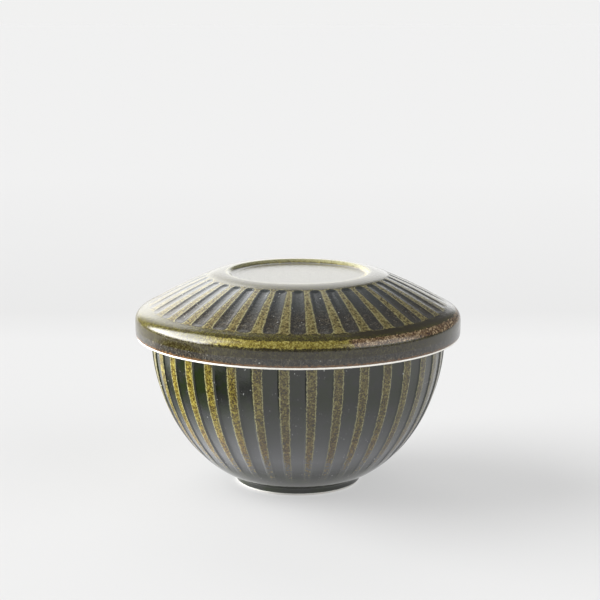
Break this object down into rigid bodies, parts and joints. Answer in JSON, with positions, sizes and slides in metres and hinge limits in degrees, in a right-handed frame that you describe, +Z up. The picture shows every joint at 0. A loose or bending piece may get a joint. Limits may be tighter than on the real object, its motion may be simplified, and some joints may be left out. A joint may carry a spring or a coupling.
{
  "type": "lidded rice bowl",
  "caption": "Round glazed rice bowl with narrow upright ribs on a low foot ring, covered by a shallow overhanging lid that lifts off and doubles as a small dish.",
  "frame": {"origin": "centre of the foot ring's standing face, on the table", "axes": "+Z up along the bowl's axis of turning; -Y faces the camera side, with a flute at the front centre; +X to the right"},
  "size_m": [0.13, 0.13, 0.0857],
  "materials": {
    "bowl_glaze": "glossy dark green glaze, olive where it thins on the ribs, bare white foot edge",
    "lid_glaze": "glossy dark green glaze, olive and brown where it thins on ribs and shoulder, bare white lower edge"
  },
  "bodies": {
    "bowl": {"bowl": "bowl_glaze"},
    "lid": {"lid": "lid_glaze"}
  },
  "joints": [
    {"name": "lid_lift", "type": "slide", "parent": "bowl", "child": "lid", "axis": [0, 0, 1], "range_m": [0, 0.09]}
  ]
}
